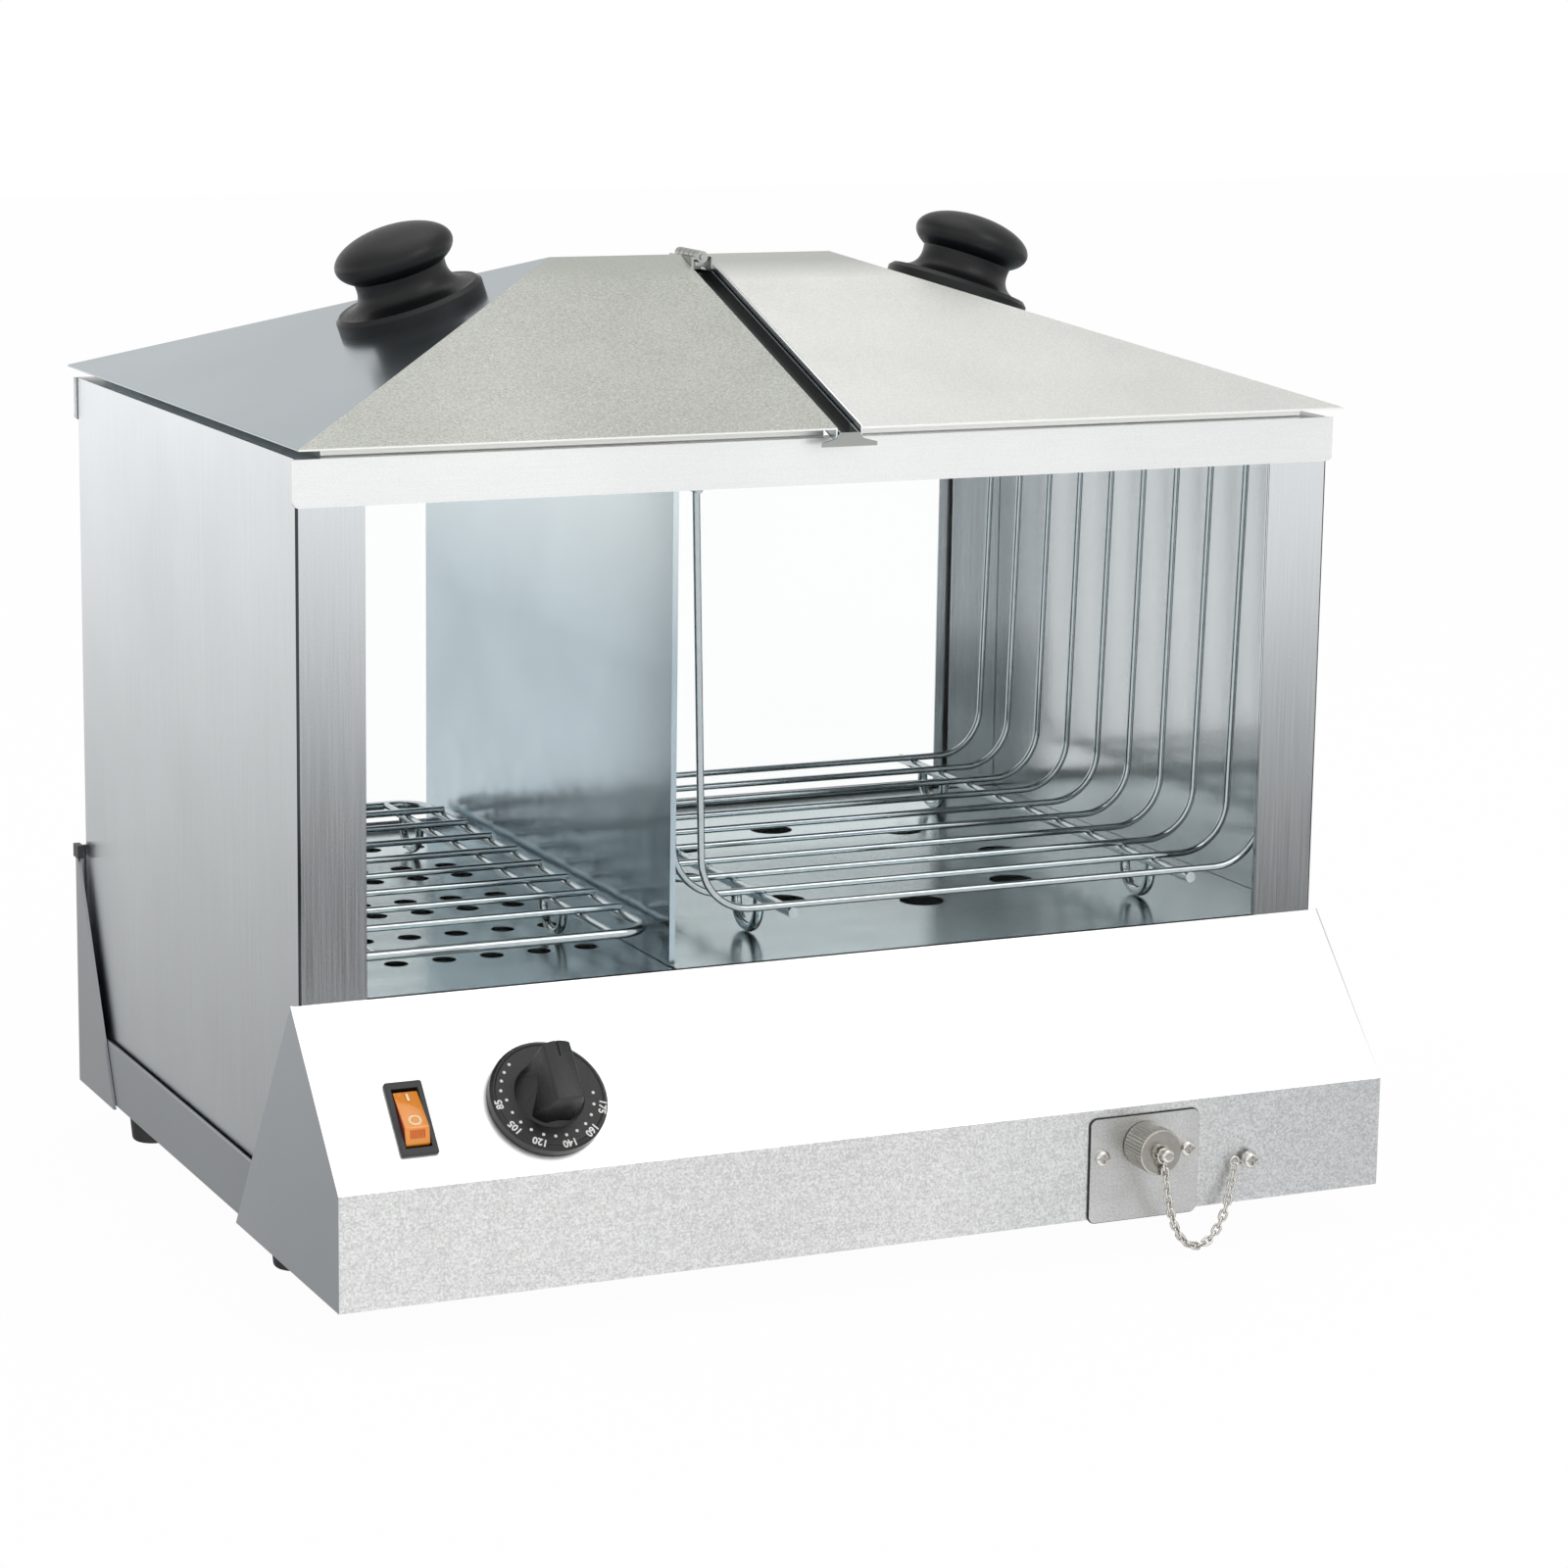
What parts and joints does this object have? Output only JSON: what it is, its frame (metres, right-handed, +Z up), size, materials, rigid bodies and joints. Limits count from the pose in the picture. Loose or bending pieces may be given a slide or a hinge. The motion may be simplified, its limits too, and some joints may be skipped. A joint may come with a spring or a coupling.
{
  "type": "hot dog steamer",
  "caption": "Countertop food steamer: stainless window cabinet, hipped double lid with knobs, bun rack, wire basket, sloping control panel with dial and rocker, and a capped drain.",
  "frame": {"origin": "middle of the footprint, on the table under the feet", "axes": "+Z up, +X to the right as the user faces the controls, +Y to the rear; the controls face -Y"},
  "size_m": [0.4588, 0.3898, 0.4108],
  "materials": {
    "cabinet_sheet": "brushed stainless sheet",
    "frame_sheet": "brushed stainless sheet",
    "housing_sheet": "fine satin stainless sheet",
    "lid_sheet": "matt stainless sheet",
    "tank_sheet": "drawn stainless sheet",
    "hinge_steel": "plain stainless",
    "clear_glass": "clear tempered glass",
    "bright_wire": "bright plated wire",
    "element_sheath": "heated stainless sheath",
    "black_phenolic": "satin black moulding",
    "black_nylon": "matt black moulding",
    "pale_nylon": "natural nylon",
    "orange_lens": "translucent orange moulding",
    "plated_fasteners": "plated steel",
    "plated_brass": "nickel plate on brass",
    "bare_brass": "turned brass",
    "drain_tube": "bent stainless tube",
    "copper_tube": "drawn copper",
    "black_rubber": "moulded rubber"
  },
  "bodies": {
    "cabinet": {"base_pan": "cabinet_sheet", "centre_gutter": "lid_sheet", "chain_eyelet": "plated_brass", "chain_screw": "plated_fasteners", "cord_gland": "black_nylon", "cover_edge_caps": "black_nylon", "divider": "cabinet_sheet", "drain_chain": "plated_brass", "drain_nut": "bare_brass", "drain_pipe": "drain_tube", "drain_plate": "housing_sheet", "drain_plate_screws": "plated_fasteners", "drain_spout": "plated_brass", "element_clips": "hinge_steel", "element_glands": "bare_brass", "feet": "black_rubber", "foot_nuts": "plated_fasteners", "foot_screws": "plated_fasteners", "front_glass": "clear_glass", "front_glass_retainers": "cabinet_sheet", "front_housing": "housing_sheet", "front_lower_wall": "cabinet_sheet", "gland_nut": "black_nylon", "heating_element": "element_sheath", "hinge_bracket": "hinge_steel", "hinge_pin": "hinge_steel", "left_floor_plate": "cabinet_sheet", "left_side_panel": "cabinet_sheet", "limit_cutout": "hinge_steel", "rear_cover": "housing_sheet", "rear_cover_screws": "plated_fasteners", "rear_glass": "clear_glass", "rear_glass_retainers": "cabinet_sheet", "rear_lower_wall": "cabinet_sheet", "right_floor_plate": "cabinet_sheet", "right_side_panel": "cabinet_sheet", "switch_body": "black_nylon", "terminal_block": "pale_nylon", "thermostat_body": "black_nylon", "thermostat_bulb": "copper_tube", "top_frame": "frame_sheet", "water_tank": "tank_sheet"},
    "left_lid": {"left_lid": "lid_sheet", "left_knob": "black_phenolic", "left_knob_screw": "plated_fasteners", "left_hinge_leaf": "hinge_steel"},
    "right_lid": {"right_lid": "lid_sheet", "right_knob": "black_phenolic", "right_knob_screw": "plated_fasteners", "right_hinge_leaf": "hinge_steel"},
    "dial": {"thermostat_dial": "black_phenolic", "thermostat_shaft": "plated_fasteners"},
    "rocker": {"rocker": "orange_lens"},
    "cap_ring": {"chain_ring": "plated_brass"},
    "cap": {"drain_cap": "plated_brass", "cap_seal": "black_rubber", "cap_rivet": "plated_brass"},
    "bun_rack": {"bun_rack": "bright_wire"},
    "basket": {"sausage_basket": "bright_wire"}
  },
  "joints": [
    {"name": "left_lid_hinge", "type": "hinge", "parent": "cabinet", "child": "left_lid", "pos_m": [0, 0.03025, 0.3943], "axis": [0, 1, 0], "range_deg": [0, 80]},
    {"name": "right_lid_hinge", "type": "hinge", "parent": "cabinet", "child": "right_lid", "pos_m": [0, 0.03025, 0.3943], "axis": [0, -1, 0], "range_deg": [0, 80]},
    {"name": "dial_turn", "type": "hinge", "parent": "cabinet", "child": "dial", "pos_m": [-0.1372, -0.15224, 0.08634], "axis": [0, 0.7405, -0.6721], "range_deg": [0, 290]},
    {"name": "rocker_tilt", "type": "hinge", "parent": "cabinet", "child": "rocker", "pos_m": [-0.1928, -0.15072, 0.0828], "axis": [1, 0, 0], "range_deg": [0, 18]},
    {"name": "cap_slide", "type": "slide", "parent": "cabinet", "child": "cap_ring", "axis": [0, -1, 0], "range_m": [0, 0.008], "deforming": ["drain_chain"]},
    {"name": "cap_turn", "type": "hinge", "parent": "cap_ring", "child": "cap", "pos_m": [0.1156, -0.1741, 0.048], "axis": [0, -1, 0], "range_deg": [0, 1440]},
    {"name": "bun_rack_lift", "type": "slide", "parent": "cabinet", "child": "bun_rack", "axis": [0, 0, 1], "range_m": [0, 0.15]},
    {"name": "basket_lift", "type": "slide", "parent": "cabinet", "child": "basket", "axis": [0, 0, 1], "range_m": [0, 0.02]}
  ],
  "couplings": [
    {"joint": "cap_slide", "follows": "cap_turn", "m_per_rad": 0.00031831}
  ]
}
